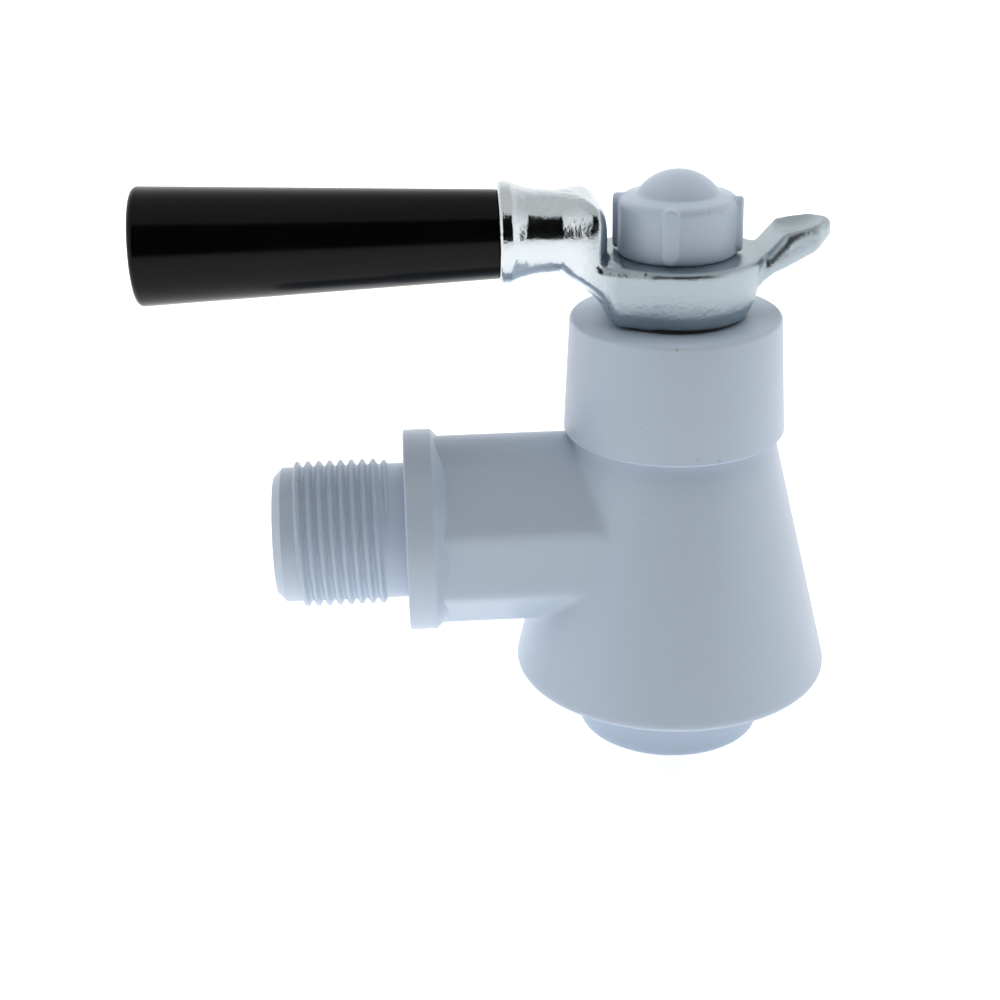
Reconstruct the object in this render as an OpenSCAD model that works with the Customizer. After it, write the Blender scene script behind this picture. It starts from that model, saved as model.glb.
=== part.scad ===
// Dispenser faucet with a rocking lever: a screwed shank on the left, an eight-sided arm,
// a bell-shaped body with its spout below, and a bonnet that carries lever, stem and spring.
// The origin is the centre of the flange's sealing face, on the shank's axis. +X runs from
// there to the spout's axis, and +Z is up.

/* [Shank] */
// Outside diameter of the shank's thread
shank_d = 27; // [24:0.1:30]
// Pitch of the shank's thread
thread_pitch = 2; // [1.9:0.1:2.6]
// Depth of the shank's thread
thread_depth = 1; // [0.6:0.1:1.1]
// Width of the flat on each thread crest
crest_flat = 0.5; // [0.2:0.1:0.6]
// Length of the shank, from the flange's face to the nose
shank_len = 24.1; // [18:0.1:32]
// Plain length between the thread and the flange
relief_len = 3.6; // [2:0.1:6]
// Chamfer round the shank's nose
nose_chamfer = 1.6; // [0.5:0.1:2]
// Diameter of the inlet bore in the shank
inlet_d = 17; // [16.5:0.5:18]

/* [Flange and arm] */
// Diameter of the flange
flange_d = 37.3; // [36.5:0.1:44]
// Thickness of the flange's full diameter
flange_t = 5.3; // [3:0.1:8]
// Length of the chamfer behind the flange
flange_back = 1.9; // [1:0.1:3]
// Distance from the flange's face to the spout's axis
reach = 49.7; // [46:0.1:70]
// Width of the arm across its flats
arm_flats = 32.6; // [30:0.1:34]
// Rounding along the arm's eight edges
arm_edge_r = 1.4; // [0.5:0.1:3]
// Diameter of the passage from the shank's bore to the valve
passage_d = 16; // [12:0.5:16]

/* [Body] */
// Diameter of the body where it meets the bonnet
cone_top_d = 36.4; // [35.5:0.1:39]
// Diameter of the body at its lower edge
cone_bottom_d = 58.4; // [50:0.1:64]
// Height of the body's cone
cone_h = 47.9; // [44:0.1:60]
// Rounding of the body's lower edge
cone_edge_r = 1; // [0.4:0.1:3]
// Height of the bonnet's seat above the shank's axis
seat_rise = 18.7; // [18:0.1:24]
// Outside diameter of the spout
spout_d = 34.6; // [30:0.1:40]
// Length of the spout below the body
spout_len = 12.5; // [6:0.1:20]
// Inside diameter of the spout
spout_bore_d = 25; // [20:0.5:28]
// Diameter of the threaded neck inside the bonnet
neck_d = 34; // [30:0.1:35]
// Height of the neck
neck_h = 11.3; // [8:0.1:13]

/* [Valve] */
// Diameter of the bore that the piston slides in
bore_d = 22.9; // [20:0.1:24]
// Depth of the valve seat below the shank's axis
seat_drop = 17; // [15:0.1:19]
// Diameter of the hole that the valve closes
seat_hole_d = 16; // [14:0.1:17]
// Length of the valve's hole above the spout's flare
seat_hole_len = 3; // [2:0.1:5]
// Length of the flare from the valve's hole to the spout's bore
flare_len = 6; // [3:0.1:10]
// Thickness of the rubber valve washer
valve_t = 4; // [2:0.1:5]
// Space between the valve washer and the bore
valve_side_gap = 0.65; // [0.4:0.05:1.5]
// Diameter of the retainer under the valve washer
retainer_d = 13; // [10:0.1:13.4]
// Thickness of the retainer
retainer_t = 1.2; // [0.8:0.1:2]
// Shank diameter of the retaining screw
screw_d = 4; // [3:0.1:5]
// Head diameter of the retaining screw
screw_head_d = 8.4; // [6:0.1:10]
// Head height of the retaining screw
screw_head_h = 2.6; // [1.5:0.1:3]
// Length of the retaining screw under its head
screw_len = 15; // [10:0.5:20]

/* [Stem] */
// Diameter of the stem where it passes the bonnet
stem_d = 8; // [6:0.1:9]
// Diameter of the stem below the piston
stem_low_d = 10; // [9.6:0.1:11]
// Thickness of the plate that backs the valve washer
plate_t = 2.5; // [1.5:0.1:3]
// Height of the piston
piston_h = 7; // [6.4:0.1:8]
// Height of the piston's foot above the shank's axis
piston_rise = 10.5; // [9:0.1:12]
// Section diameter of the piston's rings
ring_section = 2; // [1.6:0.1:2.2]
// Running clearance of the moving fits, on the radius
running_gap = 0.05; // [0.02:0.01:0.09]
// Assembly clearance of the fixed fits, on the radius
fixed_gap = 0.02; // [0.01:0.01:0.05]

/* [Bonnet] */
// Diameter of the bonnet at its top
bonnet_top_d = 38; // [36.5:0.1:42]
// Diameter of the bonnet at its foot
bonnet_bottom_d = 40.2; // [38.5:0.1:44]
// Height of the bonnet
bonnet_h = 21.5; // [20.5:0.1:26]
// Rounding of the bonnet's top edge
bonnet_edge_r = 0.8; // [0.3:0.1:1.5]
// Thickness of the bonnet's top
bonnet_roof = 4; // [3:0.1:5]
// Diameter of the spring's room in the bonnet
cavity_d = 25; // [23:0.1:26]
// Outside diameter of the stem's bush
bush_d = 15; // [13:0.1:16]
// Diameter of the bush's flange
bush_flange_d = 20; // [18:0.1:22]
// Thickness of the bush's flange
bush_flange_t = 1.5; // [1:0.1:2]
// Thickness of the steel washer above the spring
spring_washer_t = 1; // [0.6:0.1:1.5]

/* [Spring] */
// Diameter of the spring's wire
wire_d = 1.2; // [1:0.1:1.6]
// Mean diameter of the spring
spring_d = 15; // [13:0.1:17]
// Turns of the spring
spring_turns = 6.5; // [5:0.25:7]

/* [Lever] */
// Diameter of the lever's hub at its rim
hub_d = 29.8; // [27:0.1:32]
// Diameter of the hub's round foot, on whose edge it rocks
hub_base_d = 24.4; // [22:0.1:25]
// Height of the hub
hub_h = 11; // [9:0.1:12]
// How far the hub sits towards the thumb tab
hub_shift = 0.6; // [0:0.1:1]
// Thickness of the washer under the hub
lever_washer_t = 0.5; // [0.3:0.1:1]
// Height of the grip's axis above the bonnet
lever_rise = 15.6; // [14.6:0.1:17]
// Diameter of the socket's waist
socket_d = 14.8; // [13:0.1:15.4]
// Diameter of the bead where the socket meets the grip
bead_d = 18.2; // [16.5:0.1:20]
// Distance from the stem's axis to the grip's inner end
grip_start = 31.5; // [30:0.1:36]
// Distance from the stem's axis to the socket's end face
socket_end = 12.1; // [11.9:0.1:12.8]
// Reach of the thumb tab from the stem's axis
tab_reach = 27.5; // [26:0.1:32]
// Width of the thumb tab
tab_w = 15; // [12:0.1:17]
// Thickness of the thumb tab
tab_t = 3.8; // [3:0.1:4.5]
// Height of the tab's tip above the hub's foot
tab_rise = 14.2; // [13:0.1:16]
// Tilt of the lever when the tap is fully open, in degrees
tilt_open = 12; // [8:0.5:12]

/* [Grip] */
// Length of the grip
grip_len = 62.7; // [50:0.1:80]
// Diameter of the grip at its outer end
grip_d = 20.6; // [18:0.1:24]
// Diameter of the grip at its inner end
grip_neck_d = 15.5; // [13:0.1:16]
// Rounding of the grip's outer end
grip_edge_r = 1.2; // [0.5:0.1:3]
// Diameter of the stud that holds the grip
stud_d = 6; // [5:0.1:8]

/* [Cap nut] */
// Diameter of the cap nut's body
nut_d = 21; // [19:0.1:21]
// Height of the cap nut up to its dome
nut_h = 10.5; // [8:0.1:12]
// Diameter of the dome
dome_d = 14.6; // [12:0.1:16]
// Height of the dome
dome_h = 3.9; // [3:0.1:6]
// Width of each finger rib
rib_w = 3.1; // [2:0.1:4]
// How far each finger rib stands out
rib_stand = 0.9; // [0.4:0.1:1]
// Number of finger ribs
rib_count = 4; // [3:1:6]
// Turn of the first rib from the lever's line, in degrees
rib_turn = -15; // [-45:1:45]

/* [Hidden] */
$fn = 96;
eps = 0.01;

thread_r = shank_d / 2;
core_r = thread_r - thread_depth;
flank = thread_depth * tan(30);
crest_count = floor((shank_len - relief_len - nose_chamfer - crest_flat / 2) / thread_pitch);
arm_corner_r = arm_flats / 2 / cos(22.5);
arm_start = flange_t + flange_back;

cone_foot = seat_rise - cone_h;
spout_foot = cone_foot - spout_len;
neck_top = seat_rise + neck_h;
neck_r = neck_d / 2;
bore_r = bore_d / 2;
gland_w = 2.6;
gland_depth = 2.4;
gland_mid = (bore_r + neck_r) / 2;
neck_chamfer = 0.8;
mouth_bevel = 0.6;

bonnet_top = seat_rise + bonnet_h;
ledge = neck_top + fixed_gap;
roof_under = bonnet_top - bonnet_roof;
bush_foot = roof_under - bush_flange_t;
bush_sunk = 0.2;
wiper_section = 1.8;
wiper_mid = bonnet_top - bush_sunk - 1.8;
spring_top = bush_foot - spring_washer_t;

stem_r = stem_d / 2;
valve_top = valve_t - seat_drop;
stem_low_top = piston_rise;
piston_top = piston_rise + piston_h;
piston_r = bore_r - running_gap;
piston_bore_r = stem_r + fixed_gap;
ring_gland_r = piston_r - ring_section - 0.06;
ring_spacing = ring_section + 1.4;
circlip_t = 0.8;
circlip_seat = 0.6;
circlip_stand = 1.6;
circlip_gap_w = 3;
screw_hole_len = screw_len - valve_t - retainer_t + 1.5;
screw_slot_w = 1;
screw_slot_depth = 1.2;

hub_foot = bonnet_top + lever_washer_t;
hub_top = hub_foot + hub_h;
hub_r = hub_d / 2;
hub_base_r = hub_base_d / 2;
hub_edge_r = 1.1;
hub_band_h = 2.6;
hub_band_r = hub_base_r + 1.1;
lever_axis = bonnet_top + lever_rise;
slot_side_gap = 0.4;
slot_tilt_room = (hub_top - hub_foot) * sin(tilt_open) + 0.5;
socket_r = socket_d / 2;
bead_r = bead_d / 2;
bead_w = 2.1;
cove_len = 7.3;
end_arc_r = socket_r + 0.9;
end_arc_x = -socket_end - end_arc_r;
end_plan_r = 19.7;
under_arc_r = 7.8;
under_arc_x = -20.5;
stud_in_socket = 9;
stud_in_grip = 28;
stud_end_room = 0.5;

nut_foot = hub_top;
nut_r = nut_d / 2;
dome_r = dome_d / 2;
dome_sphere_r = (dome_r * dome_r + dome_h * dome_h) / (2 * dome_h);
nut_shoulder_r = 1.8;
nut_shoulder_turn = 80;
nut_land_drop = 0.5;
rib_foot_gap = 1;
rib_head_gap = 1.3;
insert_d = 12;
insert_h = 8;
stem_in_nut = 9.6;
stem_top = nut_foot + stem_in_nut;

function arc(cx, cy, r, a0, a1, n = 8) =
    [for (i = [0:n]) let (a = a0 + (a1 - a0) * i / n) [cx + r * cos(a), cy + r * sin(a)]];

// Turns children from a profile about +Z into a profile about the shank's axis
module along_x() {
    rotate([0, 90, 0]) children();
}

// Puts children on the spout's axis, where x is measured from the stem
module on_stem() {
    translate([reach, 0, 0]) children();
}

module ring(outer_r, inner_r, z0, z1) {
    translate([0, 0, z0]) difference() {
        cylinder(r = outer_r, h = z1 - z0);
        translate([0, 0, -1]) cylinder(r = inner_r, h = z1 - z0 + 2);
    }
}

module o_ring(mid_r, section, z) {
    translate([0, 0, z])
        rotate_extrude() translate([mid_r, 0]) circle(d = section, $fn = 32);
}

// One ridge of the thread, as a ring with 60-degree flanks
module thread_ridge(x) {
    along_x() rotate_extrude() polygon([
        [core_r - 0.2, x - crest_flat / 2 - flank],
        [core_r, x - crest_flat / 2 - flank],
        [thread_r, x - crest_flat / 2],
        [thread_r, x + crest_flat / 2],
        [core_r, x + crest_flat / 2 + flank],
        [core_r - 0.2, x + crest_flat / 2 + flank]
    ]);
}

module shank() {
    along_x() rotate_extrude() polygon([
        [0, -shank_len],
        [core_r - nose_chamfer, -shank_len],
        [core_r, nose_chamfer - shank_len],
        [core_r, 0],
        [flange_d / 2, 0],
        [flange_d / 2, flange_t],
        [arm_corner_r, arm_start],
        [0, arm_start]
    ]);
    for (i = [0:crest_count - 1]) {
        thread_ridge(-relief_len - flank - crest_flat / 2 - i * thread_pitch);
    }
}

// Eight-sided arm with softened edges
module arm() {
    corner = (arm_flats / 2 - arm_edge_r) / cos(22.5);
    outline = [for (k = [0:7]) let (a = 22.5 + 45 * k)
        each arc(corner * cos(a), corner * sin(a), arm_edge_r, a - 22.5, a + 22.5, 4)];
    translate([arm_start - eps, 0, 0]) along_x()
        linear_extrude(height = reach - arm_start) polygon(outline);
}

// Bell-shaped body with the spout below it and the bonnet's neck above
module bell() {
    slope = atan2((cone_bottom_d - cone_top_d) / 2, cone_h);
    edge_x = cone_bottom_d / 2 - cone_edge_r / cos(slope) + cone_edge_r * tan(slope);
    rotate_extrude() polygon(concat(
        [[0, spout_foot],
         [spout_d / 2 - mouth_bevel, spout_foot],
         [spout_d / 2, spout_foot + mouth_bevel],
         [spout_d / 2, cone_foot]],
        arc(edge_x, cone_foot + cone_edge_r, cone_edge_r, -90, slope),
        [[cone_top_d / 2, seat_rise],
         [neck_r, seat_rise],
         [neck_r, neck_top - neck_chamfer],
         [neck_r - neck_chamfer, neck_top],
         [0, neck_top]]
    ));
}

// The way through the body: piston bore, valve seat, flare and spout
module water_way() {
    seat = -seat_drop;
    hole_foot = seat - seat_hole_len;
    flare_foot = hole_foot - flare_len;
    rotate_extrude() polygon([
        [0, neck_top + 1],
        [bore_r, neck_top + 1],
        [bore_r, seat],
        [seat_hole_d / 2, seat],
        [seat_hole_d / 2, hole_foot],
        [spout_bore_d / 2, flare_foot],
        [spout_bore_d / 2, spout_foot - 1],
        [0, spout_foot - 1]
    ]);
}

module faucet_body() {
    color("gainsboro") difference() {
        union() {
            on_stem() bell();
            arm();
            shank();
        }
        on_stem() water_way();
        translate([-shank_len - 1, 0, 0]) along_x()
            cylinder(d = inlet_d, h = shank_len + 1 + arm_start);
        along_x() cylinder(d = passage_d, h = reach);
        on_stem() ring(gland_mid + gland_w / 2, gland_mid - gland_w / 2,
                       neck_top - gland_depth, neck_top + 1);
    }
}

module bonnet() {
    hole_r = bush_d / 2 + fixed_gap;
    color("whitesmoke") on_stem() rotate_extrude() polygon(concat(
        [[neck_r + fixed_gap, seat_rise],
         [bonnet_bottom_d / 2, seat_rise]],
        arc(bonnet_top_d / 2 - bonnet_edge_r, bonnet_top - bonnet_edge_r, bonnet_edge_r, 0, 90),
        [[hole_r, bonnet_top],
         [hole_r, roof_under],
         [cavity_d / 2, roof_under],
         [cavity_d / 2, ledge],
         [neck_r + fixed_gap, ledge]]
    ));
}

module bonnet_o_ring() {
    section = gland_depth - fixed_gap;
    color("dimgray") on_stem() o_ring(gland_mid, section, neck_top - gland_depth / 2);
}

module stem_bush() {
    groove_r = stem_r + running_gap + wiper_section + 0.1;
    color("ivory") on_stem() difference() {
        union() {
            ring(bush_d / 2, stem_r + running_gap, bush_foot, bonnet_top - bush_sunk);
            ring(bush_flange_d / 2, stem_r + running_gap, bush_foot, roof_under);
        }
        ring(groove_r, stem_r, wiper_mid - wiper_section / 2 - 0.1,
             wiper_mid + wiper_section / 2 + 0.1);
    }
}

module stem_wiper_ring() {
    color("dimgray") on_stem()
        o_ring(stem_r + running_gap + wiper_section / 2, wiper_section, wiper_mid);
}

module spring_washer() {
    color("silver") on_stem()
        ring(bush_flange_d / 2 + 0.5, stem_r + 0.6, spring_top, bush_foot);
}

// Closed-end compression spring: the wire's centre climbs slowly over the first and last turn
module return_spring() {
    sides = 8;
    steps_per_turn = 20;
    steps = round(spring_turns * steps_per_turn);
    wire_r = wire_d / 2;
    low = piston_top + wire_r;
    high = spring_top - wire_r;
    end_rise = wire_d * 1.02;
    body_rise = high - low - 2 * end_rise;
    body_turns = spring_turns - 2;
    points = [for (i = [0:steps]) let (
            t = i / steps_per_turn,
            a = 360 * t,
            z = low + end_rise * min(t, 1)
                + body_rise * min(max(t - 1, 0), body_turns) / body_turns
                + end_rise * max(t - 1 - body_turns, 0),
            tip = (i == 0 || i == steps) ? 0.7 : 1
        ) for (k = [0:sides - 1]) let (
            b = 360 * k / sides,
            r = spring_d / 2 + tip * wire_r * cos(b)
        ) [r * cos(a), r * sin(a), z + tip * wire_r * sin(b)]];
    sleeve = [for (i = [0:steps - 1]) for (k = [0:sides - 1]) let (
            n = (k + 1) % sides,
            p = i * sides,
            q = p + sides
        ) each [[p + k, q + k, q + n], [p + k, q + n, p + n]]];
    caps = [[for (k = [0:sides - 1]) k],
            [for (k = [sides - 1:-1:0]) steps * sides + k]];
    color("lightsteelblue") on_stem() polyhedron(points, concat(sleeve, caps), convexity = 8);
}

module lever_washer() {
    color("dimgray") on_stem() ring(hub_base_r - 0.2, stem_r + 0.3, bonnet_top, hub_foot);
}

// Round bowl of the lever, with the flat top that lifts the cap nut
module hub() {
    translate([hub_shift, 0, hub_foot]) rotate_extrude() polygon(concat(
        [[0, 0], [hub_base_r, 0], [hub_band_r, hub_band_h]],
        arc(hub_r - hub_edge_r, hub_h - hub_edge_r, hub_edge_r, 0, 90, 4),
        [[0, hub_h]]
    ));
}

// Space that the socket's end stays in: rounded over the top, and bowed when seen from above
module end_limit() {
    translate([0, 0, lever_axis]) intersection() {
        union() {
            translate([-grip_start - 1, -bead_d, -bead_d])
                cube([grip_start + 1 + end_arc_x, 2 * bead_d, 2 * bead_d]);
            translate([end_arc_x, 0, 0]) rotate([90, 0, 0])
                cylinder(r = end_arc_r, h = 2 * bead_d, center = true);
            translate([end_arc_x - 1, -bead_d, -bead_d]) cube([end_arc_r + 1, 2 * bead_d, bead_d]);
        }
        translate([-socket_end - end_plan_r, 0, 0])
            cylinder(r = end_plan_r, h = 2 * bead_d, center = true);
    }
}

// Turned socket: bead, hollow cove and waist
module socket() {
    cove_rise = bead_r - 0.1 - socket_r;
    cove_r = (cove_len * cove_len + cove_rise * cove_rise) / (2 * cove_rise);
    cove_x = -grip_start + bead_w + cove_len;
    cove_angle = asin(cove_len / cove_r);
    intersection() {
        translate([0, 0, lever_axis]) along_x() rotate_extrude() polygon(concat(
            [[0, -grip_start],
             [bead_r - 0.2, -grip_start],
             [bead_r, -grip_start + 0.3],
             [bead_r, -grip_start + bead_w - 0.2]],
            [for (p = arc(cove_x, socket_r + cove_r, cove_r, -90 - cove_angle, -90)) [p[1], p[0]]],
            [[socket_r, -socket_end],
             [0, -socket_end]]
        ));
        end_limit();
    }
}

// Throat between the socket and the hub, hollowed underneath in one round sweep
module throat() {
    difference() {
        intersection() {
            hull() {
                translate([end_arc_x - 1, 0, lever_axis]) along_x()
                    cylinder(r = socket_r - 0.05, h = 1, $fn = 32);
                translate([hub_shift - hub_base_r + 9, 0, hub_foot])
                    cylinder(r = 9, h = hub_h - 0.05, $fn = 32);
            }
            union() {
                end_limit();
                translate([-grip_start, -bead_d, hub_foot - 1])
                    cube([2 * grip_start, 2 * bead_d, hub_h + 1]);
            }
        }
        translate([under_arc_x, 0, bonnet_top]) rotate([90, 0, 0])
            cylinder(r = under_arc_r, h = 2 * bead_d, center = true);
    }
}

// Thumb tab: a spoon that climbs away from the hub, with a shallow dish on top
module thumb_tab() {
    half_t = tab_t / 2;
    tip_x = tab_reach - half_t - 0.3;
    stations = [
        [9, hub_h - 2.6, 9, half_t + 0.5],
        [14.2, hub_h - 1.9, 8.6, half_t + 0.2],
        [18.4, hub_h + 0.5, tab_w / 2 + 0.2, half_t],
        [tip_x - 3.2, tab_rise - 0.9, tab_w / 2 - 0.6, half_t],
        [tip_x, tab_rise, tab_w / 2 - 3, half_t - 0.1]
    ];
    dish_r = 14;
    dish_tilt = 25;
    translate([0, 0, hub_foot]) difference() {
        for (i = [0:len(stations) - 2]) hull() {
            for (s = [stations[i], stations[i + 1]])
                translate([s[0], 0, s[1]]) scale([2.2, s[2], s[3]]) sphere(r = 1, $fn = 20);
        }
        translate([20.5, 0, hub_h + 3.1 + dish_r]) rotate([0, -dish_tilt, 0])
            rotate([0, 90, 0]) cylinder(r = dish_r, h = 17, center = true);
        translate([0, -tab_w, hub_h]) cube([hub_shift + hub_r - hub_edge_r, 2 * tab_w, hub_h]);
    }
}

module stem_slot() {
    slot_r = stem_r + slot_side_gap;
    for (x = [0, slot_tilt_room])
        translate([x, 0, hub_foot - 1]) cylinder(r = slot_r, h = hub_h + 2);
    translate([0, -slot_r, hub_foot - 1]) cube([slot_tilt_room, 2 * slot_r, hub_h + 2]);
}

module lever_casting() {
    color("lightgray") on_stem() difference() {
        union() {
            hub();
            socket();
            throat();
            thumb_tab();
        }
        stem_slot();
        translate([-grip_start - 1, 0, lever_axis]) along_x()
            cylinder(r = stud_d / 2 + fixed_gap, h = stud_in_socket + 1);
    }
}

module grip() {
    outer = -grip_start - grip_len;
    outer_r = grip_d / 2;
    color("black") on_stem() translate([0, 0, lever_axis]) difference() {
        along_x() rotate_extrude() polygon(concat(
            [[0, -grip_start], [0, outer]],
            [for (p = arc(outer_r - grip_edge_r, outer + grip_edge_r, grip_edge_r, -90, 0)) p],
            [[grip_neck_d / 2, -grip_start]]
        ));
        translate([-grip_start - stud_in_grip - stud_end_room, 0, 0]) along_x()
            cylinder(r = stud_d / 2 + fixed_gap, h = stud_in_grip + stud_end_room + 1);
    }
}

module grip_stud() {
    color("silver") on_stem() translate([-grip_start - stud_in_grip, 0, lever_axis])
        along_x() cylinder(d = stud_d, h = stud_in_grip + stud_in_socket - stud_end_room);
}

// Turned stem: backing plate, thick lower part, and the thin part that takes the piston and nut
module stem_rod() {
    groove_z = piston_top + fixed_gap;
    plate_r = bore_r - valve_side_gap - 0.6;
    color("silver") on_stem() difference() {
        rotate_extrude() polygon([
            [0, valve_top],
            [plate_r, valve_top],
            [plate_r, valve_top + plate_t],
            [stem_low_d / 2, valve_top + plate_t],
            [stem_low_d / 2, stem_low_top],
            [stem_r, stem_low_top],
            [stem_r, stem_top - 0.6],
            [stem_r - 0.6, stem_top],
            [0, stem_top]
        ]);
        ring(stem_r + 1, stem_r - circlip_seat, groove_z, groove_z + circlip_t + fixed_gap);
        translate([0, 0, valve_top - 1])
            cylinder(r = screw_d / 2 + fixed_gap, h = screw_hole_len + 1);
    }
}

module piston() {
    color("ivory") on_stem() difference() {
        ring(piston_r, piston_bore_r, piston_rise, piston_top);
        for (side = [-1, 1]) {
            mid = (piston_rise + piston_top) / 2 + side * ring_spacing / 2;
            ring(piston_r + 1, ring_gland_r, mid - ring_section / 2 - 0.1,
                 mid + ring_section / 2 + 0.1);
        }
    }
}

module piston_o_rings() {
    color("dimgray") on_stem() for (side = [-1, 1])
        o_ring(piston_r - ring_section / 2 - 0.02, ring_section,
               (piston_rise + piston_top) / 2 + side * ring_spacing / 2);
}

// Split ring in the stem's groove, which keeps the piston on its shoulder
module piston_circlip() {
    z0 = piston_top + fixed_gap;
    color("silver") on_stem() difference() {
        ring(stem_r + circlip_stand, stem_r - circlip_seat + fixed_gap, z0, z0 + circlip_t);
        translate([0, -circlip_gap_w / 2, z0 - 1])
            cube([stem_r + circlip_stand + 1, circlip_gap_w, circlip_t + 2]);
    }
}

module valve_washer() {
    color("dimgray") on_stem()
        ring(bore_r - valve_side_gap, screw_d / 2 + fixed_gap, -seat_drop, valve_top);
}

module washer_retainer() {
    color("silver") on_stem()
        ring(retainer_d / 2, screw_d / 2 + fixed_gap, -seat_drop - retainer_t, -seat_drop);
}

module retainer_screw() {
    head_top = -seat_drop - retainer_t;
    head_foot = head_top - screw_head_h;
    color("silver") on_stem() difference() {
        union() {
            translate([0, 0, head_foot]) cylinder(d = screw_head_d, h = screw_head_h);
            translate([0, 0, head_top - eps]) cylinder(d = screw_d, h = screw_len);
        }
        translate([-screw_head_d, -screw_slot_w / 2, head_foot - 1])
            cube([2 * screw_head_d, screw_slot_w, screw_slot_depth + 1]);
    }
}

// One finger rib: an upright bar with a round back and rounded ends
module finger_rib(angle) {
    back = nut_r + rib_stand;
    bar_r = rib_w / 2;
    foot = nut_foot + rib_foot_gap;
    head = nut_foot + nut_h - rib_head_gap;
    rotate([0, 0, angle]) intersection() {
        union() {
            translate([nut_r - 2, 0, 0]) {
                for (z = [foot + bar_r, head - bar_r])
                    translate([0, 0, z]) rotate([0, 90, 0]) cylinder(r = bar_r, h = 4, $fn = 32);
                translate([0, -bar_r, foot + bar_r])
                    cube([4, rib_w, head - foot - rib_w]);
            }
        }
        translate([0, 0, foot]) cylinder(r = back, h = head - foot);
    }
}

module cap_nut() {
    side_top = nut_foot + nut_h - nut_land_drop - nut_shoulder_r;
    dome_foot = nut_foot + nut_h;
    dome_mid = dome_foot + dome_h - dome_sphere_r;
    dome_angle = acos(dome_r / dome_sphere_r);
    color("white") on_stem() difference() {
        union() {
            rotate_extrude() polygon(concat(
                [[0, nut_foot], [nut_r, nut_foot]],
                arc(nut_r - nut_shoulder_r, side_top, nut_shoulder_r, 0, nut_shoulder_turn),
                arc(0, dome_mid, dome_sphere_r, dome_angle, 90, 10)
            ));
            for (k = [0:rib_count - 1]) finger_rib(rib_turn + 360 * k / rib_count);
        }
        translate([0, 0, nut_foot - 1])
            cylinder(r = insert_d / 2 + fixed_gap, h = insert_h + 1);
        translate([0, 0, nut_foot]) cylinder(r = stem_r + fixed_gap, h = stem_in_nut + 0.4);
    }
}

module nut_insert() {
    color("goldenrod") on_stem()
        ring(insert_d / 2, stem_r + fixed_gap, nut_foot, nut_foot + insert_h);
}

faucet_body();
bonnet();
bonnet_o_ring();
stem_bush();
stem_wiper_ring();
spring_washer();
return_spring();
lever_washer();
lever_casting();
grip();
grip_stud();
stem_rod();
piston();
piston_o_rings();
piston_circlip();
valve_washer();
washer_retainer();
retainer_screw();
cap_nut();
nut_insert();
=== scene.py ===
# %% [markdown]
# # A dispenser faucet with a rocking lever
# A white moulded tap with a screwed shank, an arm with flats and a bell-shaped body. On top sit a
# bonnet, a plated lever with a black grip, and a ribbed nut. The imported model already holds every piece
# at its true size and place, so this script never measures anything twice: it reads the places of
# the pieces from their boxes, and gives each one its finished form and surface.

import math

import bmesh
import bpy
import numpy as np
import openvdb
from mathutils import Matrix, Vector


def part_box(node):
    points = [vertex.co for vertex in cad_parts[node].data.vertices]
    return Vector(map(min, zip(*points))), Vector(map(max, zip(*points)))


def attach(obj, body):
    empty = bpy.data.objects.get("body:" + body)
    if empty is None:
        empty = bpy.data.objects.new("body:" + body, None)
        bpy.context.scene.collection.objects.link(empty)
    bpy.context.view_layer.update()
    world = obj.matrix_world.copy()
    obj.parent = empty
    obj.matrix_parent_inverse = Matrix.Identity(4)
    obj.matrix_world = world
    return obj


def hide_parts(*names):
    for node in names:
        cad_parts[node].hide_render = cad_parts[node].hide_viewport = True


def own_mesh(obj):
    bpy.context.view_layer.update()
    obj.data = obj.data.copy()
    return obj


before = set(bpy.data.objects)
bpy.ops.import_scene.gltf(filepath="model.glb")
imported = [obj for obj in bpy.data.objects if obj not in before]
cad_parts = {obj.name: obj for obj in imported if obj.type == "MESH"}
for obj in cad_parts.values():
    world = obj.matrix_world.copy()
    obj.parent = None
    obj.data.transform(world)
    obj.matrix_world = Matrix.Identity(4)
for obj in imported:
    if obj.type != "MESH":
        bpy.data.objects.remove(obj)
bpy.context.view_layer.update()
MM = 0.001

# %% [markdown]
# ## The camera
# The photograph was taken from a little above the lever, turned slightly towards the shank. The camera
# could be placed by eye, but round edges give it away more exactly: each one is a circle that shows as
# an ellipse, and only one camera makes all of them fit. What that fit gave is written here as a place
# and two directions, in the part's own frame.

# %% Camera
FOCAL_PX = 1755.75
SENSOR_MM = 36.0
PHOTO_PX = 1000
EYE = Vector((3.322, -297.826, 137.173)) * MM
RIGHT = Vector((0.99817, -0.05686, -0.02054))
UP = Vector((0.04177, 0.40310, 0.91420))

lens = bpy.data.cameras.new("photo_camera")
lens.sensor_width = SENSOR_MM
lens.lens = FOCAL_PX * SENSOR_MM / PHOTO_PX
lens.clip_start = 0.01
camera = bpy.data.objects.new("photo_camera", lens)
bpy.context.scene.collection.objects.link(camera)
look = Matrix((RIGHT, UP, RIGHT.cross(UP))).transposed()
camera.matrix_world = Matrix.Translation(EYE) @ look.to_4x4()
bpy.context.scene.camera = camera
bpy.context.scene.view_settings.view_transform = "Standard"
print("lens", round(lens.lens, 2), "mm, eye", [round(v, 4) for v in EYE])

# %% [markdown]
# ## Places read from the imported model
# Every form below is drawn in millimetres. The stem's axis is the line that most of them turn about,
# and the shank's axis is the other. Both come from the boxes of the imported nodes, so when a size of the
# part changes, these follow it.

# %% Places
def box_mm(node):
    low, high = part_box(node)
    return np.array(low) / MM, np.array(high) / MM


body_low, body_high = box_mm("faucet_body")
bonnet_low, bonnet_high = box_mm("bonnet")
lever_low, lever_high = box_mm("lever_casting")
grip_low, grip_high = box_mm("grip")
nut_low, nut_high = box_mm("cap_nut")
valve_low = box_mm("valve_washer")[0]

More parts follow.
